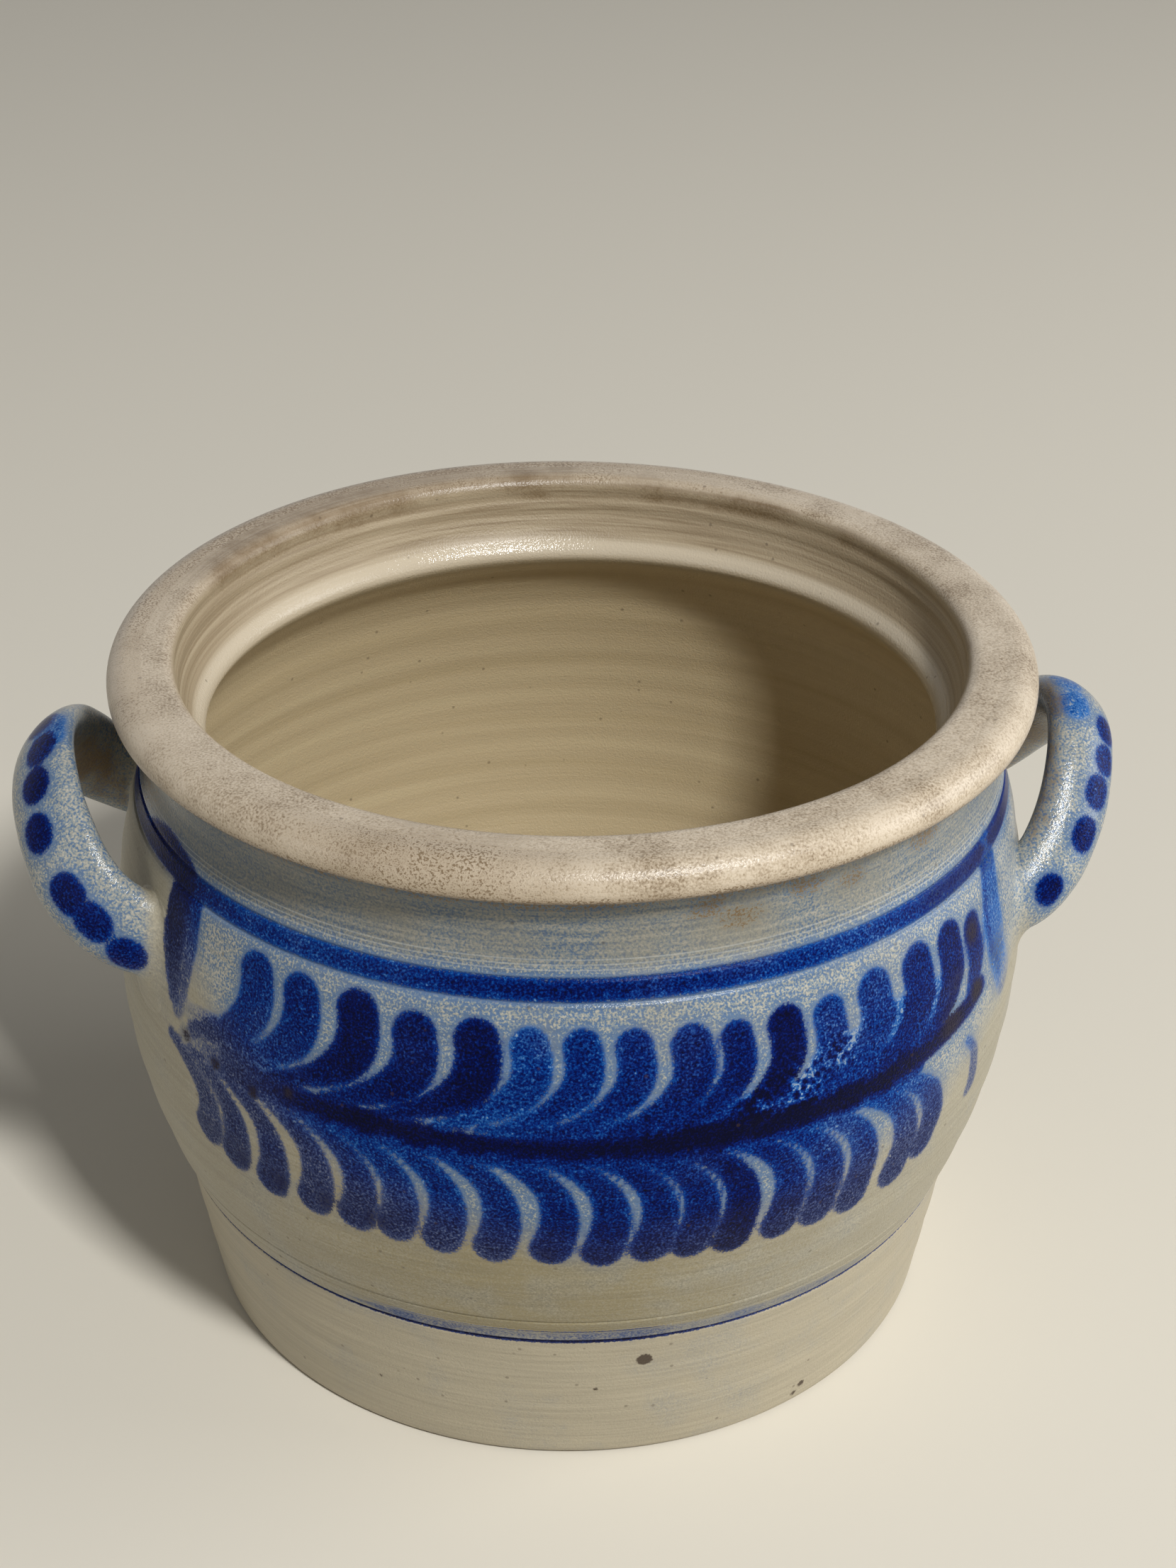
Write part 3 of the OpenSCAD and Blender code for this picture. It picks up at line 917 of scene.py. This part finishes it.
def smeared_root(rails, bow, form, side_x):
    """Rows of one root from its strap out onto the wall, and where the strap starts on each rail."""
    clear = wall_gap(rails, side_x)
    in_order = slice(None, None, 1 if bow[0] < bow[-1] else -1)
    wall_at = [np.interp(0, clear[:, k], bow) for k in range(strap_sides)]
    wall = on_rails(rails[in_order], bow[in_order], wall_at)
    normal = unit(wall * (1, 1, 0))
    away = wall - wall.mean(0)
    away = unit(away - normal * (away * normal).sum(1)[:, None])
    up = np.clip(away[:, 2], 0, 1) ** 2
    down = np.clip(-away[:, 2], 0, 1) ** 2
    rise = lift_above * up + lift * (1 - up)
    spread = (smear_above * up + form["smear"] * (1 - up) + run_down * down)[:, None]
    strap_at = np.array([np.interp(rise[k], clear[:, k], bow) for k in range(strap_sides)])
    lifted = on_rails(rails[in_order], bow[in_order], strap_at)
    landed = to_wall(wall + away * spread, landed_out, side_x)
    rows = [
        lifted * (1 - t) ** 2 + wall * 2 * t * (1 - t) + landed * t * t
        for t in np.linspace(0, 1, smear_rows + 1)[1:]
    ]
    rows.append(to_wall(wall + away * (spread + skirt), -skirt_depth, side_x))
    return rows, strap_at


def strap_handle(name, side_x, form, dabs, grime_and_shade):
    """One handle on side_x: 1 for +X, -1 for -X."""
    bow = np.linspace(0, np.pi, bow_steps)
    rails = strap_rails(form, bow)
    half = len(bow) // 2
    front_rows, front_at = smeared_root(rails[:half], bow[:half], form, side_x)
    back_rows, back_at = smeared_root(rails[half:][::-1], bow[half:][::-1], form, side_x)
    shares = np.linspace(0, 1, strap_rows)
    strap = [on_rails(rails, bow, front_at * (1 - t) + back_at * t) for t in shares]
    stacked = np.array(front_rows[::-1] + strap + back_rows)
    count = len(stacked)
    points = stacked.reshape(-1, 3)
    wobble = unevenness * soft_step(0, 4, wall_gap(points, side_x))
    for i, p in enumerate(points):
        points[i] = p + wobble[i] * np.array(noise.noise_vector(Vector(p * (side_x, 1, 1)) / uneven_pitch))
    points = np.r_[points, [stacked[0].mean(0), stacked[-1].mean(0)]]
    n = strap_sides
    faces = [
        [row * n + k, row * n + (k + 1) % n, (row + 1) * n + (k + 1) % n, (row + 1) * n + k]
        for row in range(count - 1) for k in range(n)
    ]
    last = (count - 1) * n
    faces += [[count * n, (k + 1) % n, k] for k in range(n)]
    faces += [[count * n + 1, last + k, last + (k + 1) % n] for k in range(n)]
    if side_x > 0:
        faces = [face[::-1] for face in faces]

    # Each dab is a short stroke along the strap; the back half repeats the front's dabs
    strokes = []
    for share, turn_deg, half_length, dab_load in dabs + [(1 - dab[0], *dab[1:]) for dab in dabs]:
        row = smear_rows + 1 + share * (strap_rows - 1)
        k = int(round(turn_deg % 360 / 360 * n)) % n
        spot_here = stacked[int(row), k]
        ahead = unit(stacked[int(row) + 1, k] - spot_here)
        offsets = np.linspace(-1, 1, dab_discs)[:, None] * max(half_length - form["dab"], 0.5)
        centres = spot_here + ahead * offsets
        strokes.append(np.c_[centres, np.full(dab_discs, form["dab"]), np.full(dab_discs, dab_load)])
    dab_edge, dab_loads = lay_strokes(points, strokes)
    around = np.r_[np.tile(np.arange(n) * 360 / n, count), 0, 0]
    # Brown dirt, and painted shade on the strap's inner face
    grimy_and_shaded = np.zeros(len(points))
    for angle, reach, strength in grime_and_shade:
        grimy_and_shaded = np.maximum(grimy_and_shaded, strength * bell((around - angle + 180) % 360 - 180, reach))
    # The smeared roots carry on the wall's own glaze and brush strokes
    by_wall = 1 - soft_step(1.0, 6.0, wall_gap(points, side_x))
    points = points * (side_x, 1, 1)
    degrees = np.degrees(np.arctan2(points[:, 0], -points[:, 1])) + paint_turn
    wall_edge, wall_load = lay_strokes(np.c_[degrees * belly_mm, points[:, 2]], garland(0.0))
    wall_edge = wall_edge - paint_reach * (1 - by_wall)
    piece = make_piece(name, points, faces, {
        "brush_edge": np.maximum(dab_edge, wall_edge),
        "cobalt_load": np.where(wall_edge > dab_edge, wall_load, dab_loads),
        "salt": 1 - by_wall * (1 - kiln_salt(degrees, points[:, 2])),
        "dry_tone": np.full(len(points), side_tone),
        "stain_and_shade": grimy_and_shaded * (1 - by_wall),
        "calm": np.full(len(points), 0.15),
        "rough": 0.18 + 0.2 * by_wall,
    })
    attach(piece, "root")
    return piece


right_handle = strap_handle("right_strap", 1, right_form, right_dabs, right_grime_and_shade)
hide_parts("handle_right")
left_handle = strap_handle("left_strap", -1, left_form, left_dabs, left_grime_and_shade)
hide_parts("handle_left")

# Stage
# A plain pale floor and a white surround, with three soft lamps: a key from the upper right front,
# a wide one at the right, and a weak wide one low at the left that fills the shadows.
# The camera stands where the photograph was taken, looking down at the crock from the front.

floor_mesh = bpy.data.meshes.new("floor")
floor_reach = 2.1
floor_sides = 128
floor_rim = [2 * math.pi * i / floor_sides for i in range(floor_sides)]
floor_mesh.from_pydata(
    [(floor_reach * math.cos(a), floor_reach * math.sin(a), 0) for a in floor_rim], [], [range(floor_sides)],
)
floor = bpy.data.objects.new("floor", floor_mesh)
bpy.context.scene.collection.objects.link(floor)
floor_paint = bpy.data.materials.new("pale_painted_floor")
floor_paint.use_nodes = True
floor_shader = floor_paint.node_tree.nodes["Principled BSDF"]
floor_shader.inputs["Base Color"].default_value = linear("#d8d2c4")
floor_shader.inputs["Roughness"].default_value = 0.7
floor_mesh.materials.append(floor_paint)

world = bpy.data.worlds.new("studio")
world.use_nodes = True
bpy.context.scene.world = world
sky = world.node_tree
sky.nodes.clear()
ray = add_node(sky, "LightPath").outputs
seen = ray["Is Camera Ray"]
for kind in ("Is Glossy Ray", "Is Transmission Ray"):
    seen = add_node(sky, "Math", {0: seen, 1: ray[kind]}, operation="MAXIMUM").outputs[0]
shine_out = add_node(sky, "MapRange", {"Value": seen, "To Min": 0.15, "To Max": 0.7}).outputs["Result"]
glow = add_node(sky, "Background", {"Color": linear("#ffffff"), "Strength": shine_out}).outputs["Background"]
add_node(sky, "OutputWorld", {"Surface": glow})


def soft_lamp(name, stand, target, size, power):
    """A square area lamp that points at a target."""
    data = bpy.data.lights.new(name, "AREA")
    data.size = size
    data.energy = power
    lamp = bpy.data.objects.new(name, data)
    lamp.location = stand
    lamp.rotation_euler = (Vector(target) - Vector(stand)).to_track_quat("-Z", "Y").to_euler()
    bpy.context.scene.collection.objects.link(lamp)


soft_lamp("key", (1.12, -2.42, 2.97), (0, 0, 0.12), 0.5, 140)
soft_lamp("side", (3.2, -0.2, 0.88), (0, 0, 0.12), 2.0, 56)
soft_lamp("fill", (-2.6, -1.8, 0.45), (0, 0, 0.05), 2.0, 12)

# The photograph was taken with a long-side field of 34 degrees, from 0.9 m away and 29 degrees above
camera_data = bpy.data.cameras.new("camera")
camera_data.lens = 58.7
camera_data.sensor_width = 36.0
camera_data.clip_start = 0.01
camera = bpy.data.objects.new("camera", camera_data)
turn_left = 0.1067
look_down = 0.5137
roll = 0.0042
viewpoint = (-0.0678, -0.6928, 0.5596)
aim = Matrix.Rotation(-turn_left, 4, "Z") @ Matrix.Rotation(math.pi / 2 - look_down, 4, "X")
aim = aim @ Matrix.Rotation(roll, 4, "Z")
camera.matrix_world = Matrix.Translation(viewpoint) @ aim
bpy.context.scene.collection.objects.link(camera)
bpy.context.scene.camera = camera
bpy.context.scene.view_settings.view_transform = "Standard"
